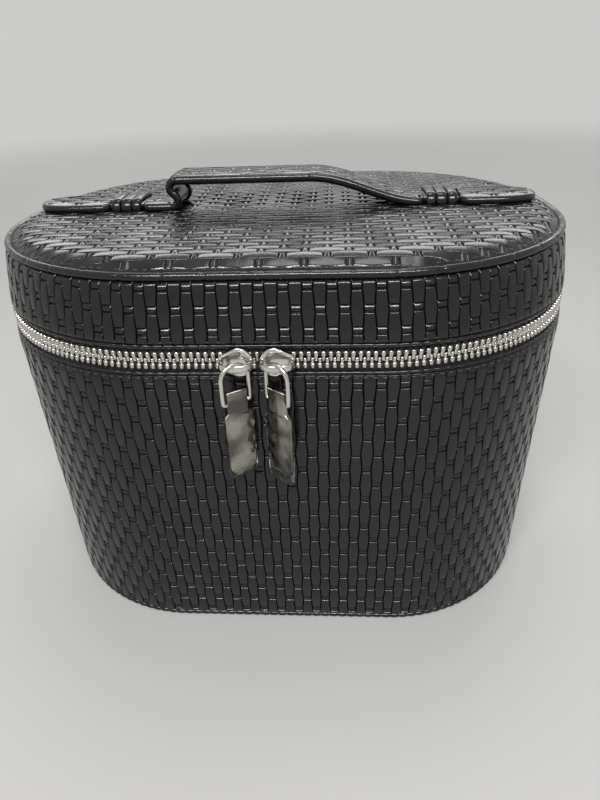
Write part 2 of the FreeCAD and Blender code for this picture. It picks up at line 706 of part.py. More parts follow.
def film(label, place, yaw, end):
    """A thin clear sleeve round a pull."""
    body = pull_body(label, place, yaw)
    low = f"({PULL_LOW} - {end})"
    height = f"({SHOULDER_HEIGHT} - {low})"
    for kind, name, gap in (
        ("PartDesign::Pad", "outside", "(film_gap + film_thick)"),
        ("PartDesign::Pocket", "inside", "film_gap"),
    ):
        wide = f"(pull_half_width + {gap})"
        deep = f"(pull_thick / 2 + {gap})"
        corners = [(f"-{wide}", f"-{deep}"), (wide, f"-{deep}"), (wide, deep), (f"-{wide}", deep)]
        edge = outline(body, f"{label}_{name}_edge", corners, "XY_Plane", low)
        feature = pad(body, f"{label}_{name}", edge, height, False, kind)
        feature.Reversed = kind == "PartDesign::Pocket"


def build_sliders():
    """Both sliders, nose to nose at the front, each with its bail, pull and film."""
    for side, facing in (("left", 1), ("right", -1)):
        place = f"{side}_slider_place"
        yaw = f"{side}_pull_yaw"
        slider(f"slider_{side}", place, facing)
        bail(f"bail_{side}", place, yaw)
        pull(f"pull_{side}", place, yaw)
        film(f"film_{side}", place, yaw, f"{side}_film_end")


def write_parts():
    """Check every object, then write one file for each sub-part."""
    doc.recompute()
    for item in doc.Objects:
        if {"Invalid", "Error"} & set(item.State):
            raise RuntimeError(f"{item.Name} failed: {item.State}")
    for part in PARTS:
        if part.Shape.isNull() or not part.Shape.isValid() or not part.Shape.Solids:
            raise RuntimeError(f"{part.Label} has no sound solid")
    os.makedirs("parts", exist_ok=True)
    for part in PARTS:
        part.Shape.exportStep(f"parts/{part.Label}.step")
        print(part.Label, len(part.Shape.Solids), "solids", round(part.Shape.Volume), "mm3")


build_case()
build_lid()
build_zipper()
build_hinge()
build_handle()
build_sliders()
write_parts()
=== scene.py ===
"""Finished look of the makeup train case: woven leather shell, strap handle, metal zipper and studio."""

import math

import bmesh
import bpy
from mathutils import Matrix, Vector


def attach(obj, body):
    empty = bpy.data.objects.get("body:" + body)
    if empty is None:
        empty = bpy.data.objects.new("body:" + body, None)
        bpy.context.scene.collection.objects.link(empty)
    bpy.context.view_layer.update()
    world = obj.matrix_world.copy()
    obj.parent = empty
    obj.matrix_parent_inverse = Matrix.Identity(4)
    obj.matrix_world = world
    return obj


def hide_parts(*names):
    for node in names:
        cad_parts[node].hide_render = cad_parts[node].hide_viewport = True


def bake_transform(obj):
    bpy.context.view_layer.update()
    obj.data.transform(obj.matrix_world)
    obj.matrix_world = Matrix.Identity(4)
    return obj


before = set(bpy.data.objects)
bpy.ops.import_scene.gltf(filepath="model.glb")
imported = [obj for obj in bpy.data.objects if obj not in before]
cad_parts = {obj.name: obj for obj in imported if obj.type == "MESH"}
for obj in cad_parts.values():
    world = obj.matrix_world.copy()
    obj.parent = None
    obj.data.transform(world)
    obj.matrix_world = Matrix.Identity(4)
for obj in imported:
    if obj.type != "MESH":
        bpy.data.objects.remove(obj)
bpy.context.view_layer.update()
MM = 0.001

# Outline of the case, in millimetres: half width, half depth and corner radius at three heights
BASE_PLAN = (114.0, 84.0, 68.0)
RIM_PLAN = (119.0, 89.0, 82.0)
LID_PLAN = (115.5, 85.5, 80.0)
ZIP_HEIGHT = 134.2
LID_EDGE = 162.5
LID_TOP = 166.5
LID_SEAM = tuple(size - 2.3 for size in LID_PLAN)

# Sewn sheets: their heights, turned edges, seams and the lid's crown
BODY_SKIN = (2.95, ZIP_HEIGHT - 5.85)
LID_SKIN = (ZIP_HEIGHT + 5.85, 161.05)
BINDING_OFFSET = 5.05
BINDING_INSET = 0.65
BINDING_RADIUS = 0.8
# Other rolls: height, distance in and radius
LID_ROLL = (LID_EDGE, 1.2, 1.45)
FOOT_ROLL = (1.6, 1.0, 1.2)
EDGE_FADE = 0.7
EDGE_SINK = 0.35
HEM_DEPTH = 0.9
SHOULDER_RISE = 7.0
BAND_SHOULDER = 0.6
SIDE_SPLIT = 0.5
LID_STITCH_INSET = 1.9
CHANNEL_DEPTH = 0.45
CHANNEL_WIDTH = 0.8
CHANNEL_FADE = (1.6, 2.6)
CROWN_REACH = 15.0
CROWN_RISE = 4.2
CROWN_SINK = 0.2
STITCH_PITCH = 3.3
RIM_STITCH_OFFSET = 6.7
STITCH_LIFT = 0.1

# Weave of the leather: columns round the case, length of one brick with its crossing, width of a column
WEAVE_COLUMNS = 170
WEAVE_PERIOD = 14.8
WEAVE_PITCH = 4.05

# Strap of the handle
STRAP_HALF = 12.0
STRAP_HEIGHT = 168.1
FOLD_REACH = 46.9
FOLD_RADIUS = 2.9
FOLD_TURN = math.radians(150.0)
GRIP_END = 12.0
NECK_INNER = 59.35
NECK_OUTER = 74.65
TAB_REACH = 107.5
KEEPER_REACH = 67.0
KEEPER_PITCH = 4.4
GRIP_HEIGHT = STRAP_HEIGHT + 2 * FOLD_RADIUS * (1 - math.cos(FOLD_TURN))

# Zipper: chain, sliders (place, turn of the pull, way they face), bails, pulls, film and tapes
TOOTH_PITCH = 2.5
CHAIN_INSET = 1.85
HINGE_HALF = 36.0
SLIDERS = {"left": (-10.8, 35.0, 1), "right": (3.2, -40.0, -1)}
BRIDGE_REACH = 6.0
PIN_DROP = 12.45
BAIL_HALF = 5.1
WIRE_RADIUS = 0.8
PULL_LENGTH = 33.5
PULL_HALF = 5.3
PULL_NECK_HALF = 3.9
PULL_FOOT_HALF = 3.1
PULL_CHAMFER = 2.4
PULL_TOP = 4.5 - PIN_DROP
PULL_SHOULDER = -4.5 - PIN_DROP
PULL_FOOT = PULL_TOP - PULL_LENGTH
FILM_END = {"left": 1.5, "right": 4.5}
FILM_HALF = 5.7
FILM_DEPTH = 1.5
TAPE_GAP = 1.0
TAPE_REACH = 16.5
TEETH_EACH_WAY = 119
# Blocks of a tooth: size, and height from the chain's middle
TOOTH_BLOCKS = (((1.45, 3.0, 2.0), -2.2), ((1.1, 2.2, 2.5), -0.6))


# Materials

def new_material(name, colour, roughness, metallic=0.0):
    """A material with one principled shader, and its node tree."""
    material = bpy.data.materials.new(name)
    material.use_nodes = True
    shader = material.node_tree.nodes["Principled BSDF"]
    shader.inputs["Base Color"].default_value = (*colour, 1.0)
    shader.inputs["Roughness"].default_value = roughness
    shader.inputs["Metallic"].default_value = metallic
    return material, material.node_tree, shader


def add_node(tree, kind, values=None, **settings):
    """A node with its settings and the values of its inputs."""
    node = tree.nodes.new(f"ShaderNode{kind}")
    for label, setting in settings.items():
        setattr(node, label, setting)
    for label, value in (values or {}).items():
        node.inputs[label].default_value = value
    return node


def noise(tree, scale, detail=3.0, coords=None):
    """A noise pattern on the piece's own coordinates."""
    coords = coords or add_node(tree, "TexCoord")
    texture = add_node(tree, "TexNoise", {"Scale": scale, "Detail": detail})
    tree.links.new(coords.outputs["Object"], texture.inputs["Vector"])
    return texture.outputs["Fac"]


def ramp(shader, value, low, high, start=0.3, end=0.7, target="Base Color"):
    """Two colours spread over part of a pattern's range, for a shader's input."""
    tree = shader.id_data
    node = add_node(tree, "ValToRGB")
    for stop, position, colour in zip(node.color_ramp.elements, (start, end), (low, high)):
        stop.position = position
        stop.color = (*colour, 1.0)
    tree.links.new(value, node.inputs["Fac"])
    tree.links.new(node.outputs["Color"], shader.inputs[target])


def bump(shader, height, strength, distance):
    """Small relief in the shading, in metres."""
    tree = shader.id_data
    node = add_node(tree, "Bump", {"Strength": strength, "Distance": distance})
    tree.links.new(height, node.inputs["Height"])
    tree.links.new(node.outputs["Normal"], shader.inputs["Normal"])


def tint(colour, share):
    """A colour made lighter or darker."""
    return tuple(part * share for part in colour)


def leather(name, colour, dull, gloss, grain_scale, grain_depth):
    """Coated leather: a pebbled grain, uneven gloss and slight colour drift."""
    material, tree, shader = new_material(name, colour, gloss)
    coords = add_node(tree, "TexCoord")
    drift = noise(tree, 55.0, 4.0, coords)
    ramp(shader, drift, colour, tint(colour, 1.7))
    wear = noise(tree, 320.0, 5.0, coords)
    ramp(shader, wear, (gloss,) * 3, (dull,) * 3, 0.25, 0.75, "Roughness")
    grain = add_node(tree, "TexVoronoi", {"Scale": grain_scale}, feature="SMOOTH_F1")
    tree.links.new(coords.outputs["Object"], grain.inputs["Vector"])
    bump(shader, grain.outputs["Distance"], 0.35, grain_depth)
    shader.inputs["Specular IOR Level"].default_value = 0.42
    return material


def cloth(name, colour, scale, depth):
    """A plain woven fabric from two crossed sets of threads."""
    material, tree, shader = new_material(name, colour, 0.85)
    coords = add_node(tree, "TexCoord")
    crossed = add_node(tree, "Math", operation="MAXIMUM")
    for index, direction in enumerate("XZ"):
        wave = add_node(tree, "TexWave", {"Scale": scale, "Distortion": 0.6}, bands_direction=direction)
        tree.links.new(coords.outputs["Object"], wave.inputs["Vector"])
        tree.links.new(wave.outputs["Fac"], crossed.inputs[index])
    threads = crossed.outputs["Value"]
    ramp(shader, threads, tint(colour, 0.5), colour, 0.2, 0.9)
    bump(shader, threads, 0.5, depth)
    shader.inputs["Sheen Weight"].default_value = 0.2
    return material


def fibrous(name, low, high, roughness, scale, detail, strength, depth):
    """Thread, board or foam: fibres with darker places between them."""
    material, tree, shader = new_material(name, low, roughness)
    fibres = noise(tree, scale, detail)
    ramp(shader, fibres, low, high)
    bump(shader, fibres, strength, depth)
    return material


def nickel(name, colour, rough, reflection_patch_scale=None):
    """Plated metal with faint streaks and, where asked, patches darkened to a third as painted dark
    reflections.
    """
    material, tree, shader = new_material(name, colour, rough, 1.0)
    streaks = noise(tree, 900.0, 4.0)
    ramp(shader, streaks, (rough * 0.7,) * 3, (rough * 1.7,) * 3, target="Roughness")
    if reflection_patch_scale:
        # Painted dark reflection: patches of the base colour darkened, standing in for dark surroundings
        # mirrored in the metal
        painted_reflection = noise(tree, reflection_patch_scale, 2.0)
        ramp(shader, painted_reflection, tint(colour, 0.3), colour, 0.4, 0.62)
    else:
        ramp(shader, streaks, tint(colour, 0.86), colour)
    bump(shader, streaks, 0.08, 0.0001)
    return material


def film():
    """Thin clear plastic film with a soft haze."""
    material, tree, shader = new_material("clear_film", (0.96, 0.97, 0.97), 0.05)
    shader.inputs["Transmission Weight"].default_value = 1.0
    shader.inputs["IOR"].default_value = 1.22
    haze = noise(tree, 420.0)
    ramp(shader, haze, (0.02,) * 3, (0.12,) * 3, target="Roughness")
    bump(shader, haze, 0.3, 0.0004)
    return material


BLACK = (0.0045, 0.0045, 0.0047)
WOVEN = leather("woven_leather", BLACK, 0.24, 0.13, 2600.0, 0.00005)
SMOOTH = leather("smooth_leather", BLACK, 0.25, 0.13, 1900.0, 0.00007)
# Fibres: roughness, scale and detail of the pattern, strength and depth of its relief
STRANDS = (0.5, 2600.0, 2.0, 0.5, 0.0001)
FIBRES = (0.9, 380.0, 5.0, 0.3, 0.0003)
THREAD = fibrous("black_thread", (0.008,) * 3, (0.045, 0.045, 0.046), *STRANDS)
NICKEL = nickel("nickel", (0.66, 0.64, 0.60), 0.15)
TEETH = nickel("tooth_nickel", (0.62, 0.60, 0.56), 0.2)
# The pulls' nickel is painted darker than the rest, with patches of painted dark reflection, for the dark
# surroundings it mirrors
PULL_METAL = nickel("pull_nickel", (0.36, 0.34, 0.30), 0.12, 95.0)
FILM = film()
TAPE = cloth("zipper_tape", (0.012, 0.012, 0.0125), 420.0, 0.0002)
LINING = cloth("lining_fabric", (0.035, 0.034, 0.036), 520.0, 0.00012)
BOARD = fibrous("stiffening_board", (0.30, 0.24, 0.17), (0.42, 0.35, 0.26), *FIBRES)
FOAM = fibrous("thin_foam", (0.62, 0.60, 0.55), (0.74, 0.72, 0.68), *FIBRES)
# Slot of the pieces in each material
SLOTS = {WOVEN: "woven_leather", FILM: "clear_film", TAPE: "tape", LINING: "lining"}
SLOTS |= dict.fromkeys((SMOOTH, THREAD), "plain_leather")
SLOTS |= dict.fromkeys((NICKEL, TEETH, PULL_METAL), "nickel")


# Making pieces

SHADING = "shading"
CREASE = math.cos(math.radians(60.0))
CRISP = math.radians(32.0)


def keep_flats(bm):
    """Shading directions at corners: wide faces look flat, creases stay crisp."""
    bm.normal_update()
    weighted = {face: face.normal * face.calc_area() for face in bm.faces}
    layer = bm.loops.layers.float_vector.new(SHADING)
    for face in bm.faces:
        for loop in face.loops:
            total = Vector()
            for near in loop.vert.link_faces:
                if near.normal.dot(face.normal) > CREASE:
                    total += weighted[near]
            loop[layer] = total.normalized()


def to_mesh(bm, name):
    """A mesh from a bmesh that isn't needed any more."""
    mesh = bpy.data.meshes.new(name)
    bm.to_mesh(mesh)
    bm.free()
    return mesh


def place_object(name, data):
    """A new object in the scene."""
    holder = bpy.data.objects.new(name, data)
    bpy.context.scene.collection.objects.link(holder)
    return holder


def finish_piece(name, bm, material, body, node=None, **looks):
    """A bmesh in millimetres becomes a piece in metres that rides on a body."""
    bmesh.ops.scale(bm, vec=(MM,) * 3, verts=bm.verts)
    layer = bm.loops.layers.float_vector.get(SHADING)
    shading = []
    if layer:
        shading = [Vector(loop[layer]) for face in bm.faces for loop in face.loops]
        bm.loops.layers.float_vector.remove(layer)
    mesh = to_mesh(bm, name)
    piece = place_mesh(name, mesh, material, body, node, **looks)
    if shading:
        mesh.normals_split_custom_set(shading)
    return piece


def place_mesh(name, mesh, material, body, node=None, smooth=True, crisp=False):
    """A mesh in metres becomes a piece that rides on a body and stands for a CAD node."""
    piece = place_object(name, mesh)
    mesh.materials.append(material)
    for face in mesh.polygons:
        face.use_smooth = smooth
    if crisp:
        mesh.set_sharp_from_angle(angle=CRISP)
    if body:
        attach(piece, body)
    if node:
        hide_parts(node)
    return piece


def case_plan(height, inset=0.0):
    """Half width, half depth and corner radius of case or lid at a height, set in by a distance."""
    low, high, share = BASE_PLAN, RIM_PLAN, height / ZIP_HEIGHT
    if height > ZIP_HEIGHT:
        low, high = RIM_PLAN, LID_PLAN
        share = min((height - ZIP_HEIGHT) / (LID_EDGE - ZIP_HEIGHT), 1.0)
    return tuple(a + (b - a) * share - inset for a, b in zip(low, high))


def plan_length(plan):
    """Length round a plan."""
    wide, deep, radius = plan
    return 4 * (wide - radius) + 4 * (deep - radius) + 2 * math.pi * radius


def plan_point(plan, along):
    """Place and outward normal on a plan, at a distance right of the front's middle."""
    wide, deep, radius = plan
    flat_x = wide - radius
    flat_y = deep - radius
    bend = math.pi * radius / 2
    half = plan_length(plan) / 2
    along = (along + half) % (2 * half) - half
    side = 1.0 if along >= 0 else -1.0
    rear = 1.0 if abs(along) > half / 2 else -1.0
    left = min(abs(along), half - abs(along))
    if left <= flat_x:
        x, y, turn = left, deep, 0.0
    elif left <= flat_x + bend:
        turn = (left - flat_x) / radius
        x = flat_x + radius * math.sin(turn)
        y = flat_y + radius * math.cos(turn)
    else:
        x, y, turn = wide, flat_x + bend + flat_y - left, math.pi / 2
    return Vector((side * x, rear * y, 0.0)), Vector((side * math.sin(turn), rear * math.cos(turn), 0.0))


def tube(name, points, radius, material, body, node=None, closed=False, sides=3, pinches=(0.0,)):
    """A round roll or wire along points, thinner at each by its pinch."""
    curve = bpy.data.curves.new(name, "CURVE")
    curve.dimensions = "3D"
    curve.bevel_depth = radius * MM
    curve.bevel_resolution = sides
    curve.use_fill_caps = not closed
    spline = curve.splines.new("POLY")
    spline.points.add(len(points) - 1)
    for index, (knot, point) in enumerate(zip(spline.points, points)):
        knot.co = (*(Vector(point) * MM), 1.0)
        knot.radius = 1.0 - pinches[index % len(pinches)]
    spline.use_cyclic_u = closed
    holder = bpy.data.objects.new(name, curve)
    mesh = bpy.data.meshes.new_from_object(holder)
    bpy.data.objects.remove(holder)
    mesh.name = name
    return place_mesh(name, mesh, material, body, node)


def wall_point(height, inset, share):
    """Place and outward normal on a wall, at a height, a distance in and a share of the way round."""
    plan = case_plan(height, inset)
    place, normal = plan_point(plan, plan_length(plan) * share)
    return place + Vector((0, 0, height)), normal


def plan_path(height, inset, steps, wobble=0.0):
    """Points round the case at a height."""
    points = []
    for step in range(steps):
        place, normal = wall_point(height, inset, step / steps)
        points.append(place + normal * (wobble * math.sin(step * 2.7) * math.sin(step * 0.9)))
    return points


def grid(bm, columns, rows):
    """A grid of quads in a bmesh, with each vertex's place counted from a corner."""
    made = bmesh.ops.create_grid(bm, x_segments=columns, y_segments=rows, size=0.5)["verts"]
    return {vert: (round((vert.co.x + 0.5) * columns), round((vert.co.y + 0.5) * rows)) for vert in made}


def face_out(bm):
    """Turns the faces outwards."""
    bmesh.ops.recalc_face_normals(bm, faces=bm.faces)


def close_up(bm, distance=0.001):
    """Merges doubled points and turns the faces outwards."""
    bmesh.ops.remove_doubles(bm, verts=bm.verts, dist=distance)
    bmesh.ops.dissolve_degenerate(bm, edges=bm.edges, dist=distance)
    face_out(bm)


def wall_sheet(around, levels, pucker=0.0):
    """A sheet round the case through levels of height and inset, puckered where asked."""
    rows = len(levels) - 1
    bm = bmesh.new()
    for vert, (step, row) in grid(bm, around, rows).items():
        place, normal = wall_point(*levels[row], step / around)
        wave = math.sin(step * 1.9 + row * 0.7) * math.sin(math.pi * row / rows)
        vert.co = place + normal * (pucker * wave)
    close_up(bm)
    return bm


def even_levels(low, high, rows, inset):
    """Levels for a sheet between two heights."""
    return [(low + (high - low) * row / rows, inset) for row in range(rows + 1)]


def new_points(made):
    """The points among what an operator made."""
    return [item for item in made["geom"] if isinstance(item, bmesh.types.BMVert)]


def thicken(bm, thickness):
    """Gives a sheet its thickness."""
    face_out(bm)
    bmesh.ops.solidify(bm, geom=bm.faces[:], thickness=thickness)
    face_out(bm)


def bevel_edges(bm, edges, offset, segments):
    """Rounds edges off."""
    bmesh.ops.bevel(
        bm, geom=edges, offset=offset, affect="EDGES", segments=segments, profile=0.5, material=-1
    )


def slab(corners, shift, round_off, segments):
    """A flat outline made thick along a shift, with rounded rims, as a bmesh."""
    bm = bmesh.new()
    face = bm.faces.new([bm.verts.new(corner) for corner in corners])
    moved = new_points(bmesh.ops.extrude_face_region(bm, geom=[face]))
    bmesh.ops.translate(bm, vec=shift, verts=moved)
    rims = [e for e in bm.edges if abs((e.verts[0].co - e.verts[1].co).dot(shift)) < 1e-5]
    bevel_edges(bm, rims, round_off, segments)
    face_out(bm)
    return bm


# Woven leather: shares of a brick's length and of a column's width, with the relief at each

ROW_SHARES = (0.0, 0.03, 0.06, 0.085, 0.1, 0.125, 0.25, 0.375, 0.4, 0.415, 0.44, 0.47)
COLUMN_SHARES = (0.0, 0.05, 0.12, 0.88, 0.95)
COLUMN_DROP = {0.05: 0.25, 0.12: 0.0, 0.88: 0.0, 0.95: 0.25}
BRICK_PROFILE = (
    (0.0, 0.20), (0.03, 0.17), (0.06, -0.20), (0.085, -0.50),
    (0.1, 0.14), (0.125, 0.26), (0.25, 0.40), (0.5, 0.48),
)
GROOVE_DEPTH = -0.6
BRICK_LEAN = 0.07
BRICK_END = 0.12
CROSSING_TILT = 0.2
CROSSING_HALF = 0.05
WEAVE_SWAY = 0.06


def brick_height(phase):
    """Relief along the middle of a column: a crossing band, a dip, then the long brick."""
    distance = min(phase % 1.0, 1.0 - phase % 1.0)
    for (start, low), (end, high) in zip(BRICK_PROFILE, BRICK_PROFILE[1:]):
        if distance <= end:
            return low + (high - low) * (distance - start) / (end - start)
    return BRICK_PROFILE[-1][1]


def weave(column, share, phase):
    """Place across, in columns, and relief of a point of the weave. Odd columns are half a brick on."""
    own = phase + column % 2 / 2
    sway = WEAVE_SWAY * math.cos(2 * math.pi * own)
    across = column + sway + (1 - 2 * sway) * share
    if share == 0.0:
        return across, GROOVE_DEPTH
    brick = math.floor(own)
    settled = min(1.0, abs(own - brick - round(own - brick)) / BRICK_END)
    lean = BRICK_LEAN * settled * math.sin(12.9 * column + 78.2 * brick)
    relief = brick_height(own) - COLUMN_DROP[share] + lean * (2 * share - 1)
    return across, max(relief, GROOVE_DEPTH)


def row_phases(length, start=0.0):
    """Phases of the rows over a length, closer together where bricks end."""
    end = start + length / WEAVE_PERIOD
    halves = range(math.floor(2 * start), math.ceil(2 * end))
    phases = [half / 2 + share for half in halves for share in ROW_SHARES]
    return [start, *(phase for phase in phases if start + 0.004 < phase < end - 0.004), end]


def woven_grid(bm, phases, columns, upright=False):
    """Points of a woven sheet: vertex, column, share of its width, phase, place across and relief."""
    steps, rows = columns * len(COLUMN_SHARES), len(phases) - 1
    places = grid(bm, steps, rows) if upright else grid(bm, rows, steps)
    for vert, place in places.items():
        row, step = reversed(place) if upright else place
        column, part = divmod(step, len(COLUMN_SHARES))
        share = COLUMN_SHARES[part]
        yield vert, column, share, phases[row], *weave(column, share, phases[row])


def hem(bm):
    """Turns the upper and lower edges of a wall sheet in, as folded leather."""
    edges = [e for e in bm.edges if e.is_boundary and abs(e.verts[0].co.z - e.verts[1].co.z) < 1e-4]
    for vert in new_points(bmesh.ops.extrude_edge_only(bm, edges=edges)):
        vert.co -= Vector((vert.co.x, vert.co.y, 0.0)).normalized() * HEM_DEPTH


def turn_down(bm, depth):
    """Turns the open edges of a sheet down."""
    edges = [edge for edge in bm.edges if edge.is_boundary]
    for vert in new_points(bmesh.ops.extrude_edge_only(bm, edges=edges)):
        vert.co.z -= depth


def woven_wall(low, high, start, shoulder=0.0):
    """The woven sheet round the case between two heights, drawn in at its top, as a bmesh."""
    bm = bmesh.new()
    points = woven_grid(bm, row_phases(high - low, start), WEAVE_COLUMNS, True)
    for vert, _, _, phase, across, relief in points:
        height = low + (phase - start) * WEAVE_PERIOD
        kept = min(1.0, min(height - low, high - height) / EDGE_FADE)
        relief = relief * kept - EDGE_SINK * (1.0 - kept)
        bend = max(0.0, 1.0 - (high - height) / SHOULDER_RISE)
        place, normal = wall_point(height, 0.0, across / WEAVE_COLUMNS)
        vert.co = place + normal * (relief - shoulder * bend**2)
    close_up(bm)
    hem(bm)
    keep_flats(bm)
    return bm


def crown_height(inset):
    """Height of the padded top at a distance in from its sewn edge."""
    share = min(max(inset / CROWN_REACH, 0.0), 1.0)
    return LID_EDGE - CROWN_SINK + CROWN_RISE * math.sqrt(1 - (1 - share) ** 2)


def plan_inset(plan, x, y):
    """Distance of a point in from a plan's edge, below zero outside, and the nearest place on a corner."""
    wide, deep, radius = plan
    corner_x = max(abs(x) - (wide - radius), 0.0)
    corner_y = max(abs(y) - (deep - radius), 0.0)
    reach = math.hypot(corner_x, corner_y)
    if reach < 1e-6:
        return min(wide - abs(x), deep - abs(y)), None
    pull = radius / reach
    edge_x = math.copysign(min(abs(x), wide - radius) + corner_x * pull, x)
    edge_y = math.copysign(min(abs(y), deep - radius) + corner_y * pull, y)
    return radius - reach, (edge_x, edge_y)


def woven_top():
    """The lid's woven top: bricks along the width, crowned, cut to the seam, with a sewn channel."""
    wide, deep = LID_SEAM[:2]
    columns = 2 * math.ceil(deep / WEAVE_PITCH)
    fade_start, fade_length = CHANNEL_FADE
    bm = bmesh.new()
    outside = set()
    for vert, column, share, phase, across, relief in woven_grid(bm, row_phases(2 * wide), columns):
        own = phase + column % 2 / 2
        if share and abs(own - round(own)) < CROSSING_HALF:
            relief += CROSSING_TILT * (2 * share - 1)
        x = -wide + phase * WEAVE_PERIOD
        y = (across - columns / 2) * WEAVE_PITCH
        inset, edge = plan_inset(LID_SEAM, x, y)
        if inset < 0 and edge:
            outside.add(vert)
            x, y = edge
        y = max(-deep, min(deep, y))
        inset = max(inset, 0.0)
        channel = math.exp(-(((inset - LID_STITCH_INSET) / CHANNEL_WIDTH) ** 2))
        kept = min(1.0, max(0.0, (inset - fade_start) / fade_length))
        vert.co = (x, y, crown_height(inset) + relief * kept - CHANNEL_DEPTH * channel)
    lost = [face for face in bm.faces if all(vert in outside for vert in face.verts)]
    bmesh.ops.delete(bm, geom=lost, context="FACES")
    close_up(bm, 0.02)
    turn_down(bm, HEM_DEPTH)
    keep_flats(bm)
    piece = finish_piece("lid_top_weave", bm, WOVEN, "lid", "lid_top_skin")


# Stitches

def stitch_line(name, stations, body, length=2.3, width=0.34):
    """A row of stitches: short beads along a seam, each with a place, heading and normal."""
    bm = bmesh.new()
    for place, heading, normal in stations:
        made = bmesh.ops.create_uvsphere(bm, u_segments=6, v_segments=4, radius=1.0)
        side = normal.cross(heading)
        turn = Matrix((side, heading, normal)).transposed().to_4x4()
        size = Matrix.Diagonal((width, length / 2, width * 0.8, 1.0))
        bmesh.ops.transform(bm, matrix=Matrix.Translation(place) @ turn @ size, verts=made["verts"])
    return finish_piece(name, bm, THREAD, body)


def ring_stitches(plan, height, lift, slope=None):
    """Stitches round a plan at a height, on a wall or on a top that slopes outwards."""
    count = round(plan_length(plan) / STITCH_PITCH)
    stations = []
    for step in range(count):
        place, outward = plan_point(plan, plan_length(plan) * step / count)
        heading = Vector((-outward.y, outward.x, 0.0))
        normal = outward if slope is None else (Vector((0, 0, 1)) + outward * slope).normalized()
        stations.append((place + outward * lift + Vector((0, 0, height)), heading, normal))
    return stations


def leather_shell():
    """Woven walls, rolled edges and their seams."""
    front = woven_wall(*BODY_SKIN, 0.3)
    back = front.copy()
    for bm, rear in ((front, False), (back, True)):
        other = [face for face in bm.faces if (face.calc_center_median().y > SIDE_SPLIT) != rear]
        bmesh.ops.delete(bm, geom=other, context="FACES")
    finish_piece("body_weave_front", front, WOVEN, "case", "body_skin")
    finish_piece("body_weave_back", back, WOVEN, "case")
    band = woven_wall(*LID_SKIN, 0.2, BAND_SHOULDER)
    finish_piece("lid_band_weave", band, WOVEN, "lid", "lid_band_skin")
    woven_top()
    fine = WEAVE_COLUMNS * 6
    column_pinch = (0.3, 0.1, 0.0, 0.0, 0.0, 0.1)
    brick_pinch = (0.16, 0.05, *(0.0,) * 19, 0.05)
    binding = (BINDING_INSET, BINDING_RADIUS, column_pinch)
    rolls = (
        ("body_rim_roll", "case", "body_rim_binding", ZIP_HEIGHT - BINDING_OFFSET, *binding),
        ("lid_rim_roll", "lid", "lid_rim_binding", ZIP_HEIGHT + BINDING_OFFSET, *binding),
        ("lid_edge_roll", "lid", "lid_top_lip", *LID_ROLL, brick_pinch),
        ("foot_roll", "case", "base_piping", *FOOT_ROLL, column_pinch),
    )
    for name, body, node, height, inset, radius, pinches in rolls:
        path = plan_path(height, inset, fine, 0.04)
        tube(name, path, radius, SMOOTH, body, node, True, 3, pinches)
    for body, name, way in (("case", "body_rim_stitches", -1), ("lid", "lid_rim_stitches", 1)):
        height = ZIP_HEIGHT + way * RIM_STITCH_OFFSET
        stitch_line(name, ring_stitches(case_plan(height), height, STITCH_LIFT), body)
    channel = tuple(size - LID_STITCH_INSET for size in LID_SEAM)
    height = crown_height(LID_STITCH_INSET) - CHANNEL_DEPTH
    slope = crown_height(LID_STITCH_INSET + 0.5) - crown_height(LID_STITCH_INSET - 0.5)
    stitch_line("lid_top_stitches", ring_stitches(channel, height, 0.0, slope), "lid")


# Handle

def swept(frames, section):
    """A section carried along places with directions across and up, its ends filled, as a bmesh."""
    bm = bmesh.new()
    for vert, (step, row) in grid(bm, len(section), len(frames) - 1).items():
        place, across, up = frames[row]
        side, lift = section[step % len(section)]
        vert.co = place + across * side + up * lift
    close_up(bm)
    bmesh.ops.holes_fill(bm, edges=[edge for edge in bm.edges if edge.is_boundary])
    face_out(bm)
    return bm


def headed(path):
    """Each place on a path with the path's direction there."""
    places = [Vector(place) for place in path]
    for before, here, after in zip([places[0], *places], places, [*places[1:], places[-1]]):
        yield here, (after - before).normalized()


def swell(value, power):
    """A sine or cosine made fuller or thinner by a power, with its sign."""
    return math.copysign(abs(value) ** power, value)


def rounded(half_width, half_thick, power=0.7, steps=16):
    """A pillow-shaped section."""
    angles = [2 * math.pi * step / steps for step in range(steps)]
    return [(swell(math.cos(a), power) * half_width, swell(math.sin(a), power) * half_thick) for a in angles]


def arc_points(centre, radius, start, end, steps):
    """Points on an arc in the upright plane."""
    angles = [start + (end - start) * step / steps for step in range(steps + 1)]
    return [(centre[0] + radius * math.cos(a), centre[1] + radius * math.sin(a)) for a in angles]


def fold_path():
    """Middle line of the strap's S on the left."""
    lean = FOLD_TURN - math.pi / 2
    lower = (-FOLD_REACH, STRAP_HEIGHT + FOLD_RADIUS)
    upper = (lower[0] + 2 * FOLD_RADIUS * math.cos(lean), lower[1] + 2 * FOLD_RADIUS * math.sin(lean))
    first = arc_points(lower, FOLD_RADIUS, -math.pi / 2, lean, 18)
    second = arc_points(upper, FOLD_RADIUS, lean + math.pi, math.pi / 2, 18)
    return first + second[1:]


def slope_path(start, end):
    """Middle line from the grip down to the right keeper."""
    steps = 40
    points = []
    for step in range(steps + 1):
        share = step / steps
        fall = (1 - math.cos(math.pi * share)) / 2
        points.append((start + (end - start) * share, GRIP_HEIGHT + (STRAP_HEIGHT - GRIP_HEIGHT) * fall))
    return points


def straight_path(start, end, height, steps=20):
    """Middle line of a level stretch."""
    return [(start + (end - start) * step / steps, height) for step in range(steps + 1)]


